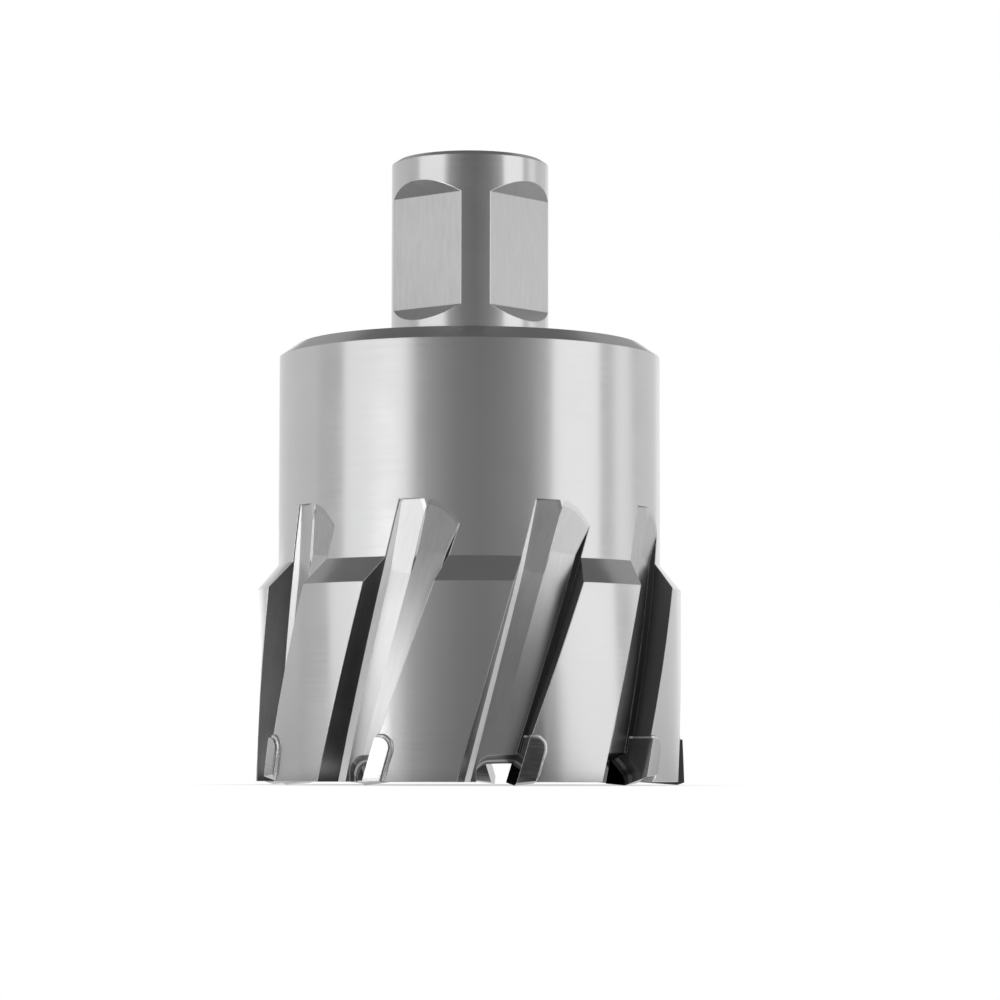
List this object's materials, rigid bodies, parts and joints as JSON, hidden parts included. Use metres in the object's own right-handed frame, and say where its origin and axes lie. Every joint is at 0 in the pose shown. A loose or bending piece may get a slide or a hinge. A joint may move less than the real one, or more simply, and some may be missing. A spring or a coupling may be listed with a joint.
{
  "type": "annular cutter",
  "caption": "Hollow core drill with brazed carbide teeth, right-hand flutes, a stepped cup and a round shank with drive flats, for a magnetic drilling machine.",
  "frame": {"origin": "on the axis, in the plane that the cutting points touch", "axes": "+Z along the axis from the teeth to the shank's end, -Y the front, midway between the two drive flats"},
  "size_m": [0.0515, 0.0517, 0.0755],
  "materials": {
    "tool_steel": "ground",
    "carbide": "fine ground",
    "braze": "cast"
  },
  "bodies": {
    "root": {"cutter_body": "tool_steel", "carbide_tip_1": "carbide", "carbide_tip_2": "carbide", "carbide_tip_3": "carbide", "carbide_tip_4": "carbide", "carbide_tip_5": "carbide", "carbide_tip_6": "carbide", "carbide_tip_7": "carbide", "carbide_tip_8": "carbide", "carbide_tip_9": "carbide", "braze_seam_1": "braze", "braze_seam_2": "braze", "braze_seam_3": "braze", "braze_seam_4": "braze", "braze_seam_5": "braze", "braze_seam_6": "braze", "braze_seam_7": "braze", "braze_seam_8": "braze", "braze_seam_9": "braze"}
  },
  "joints": []
}
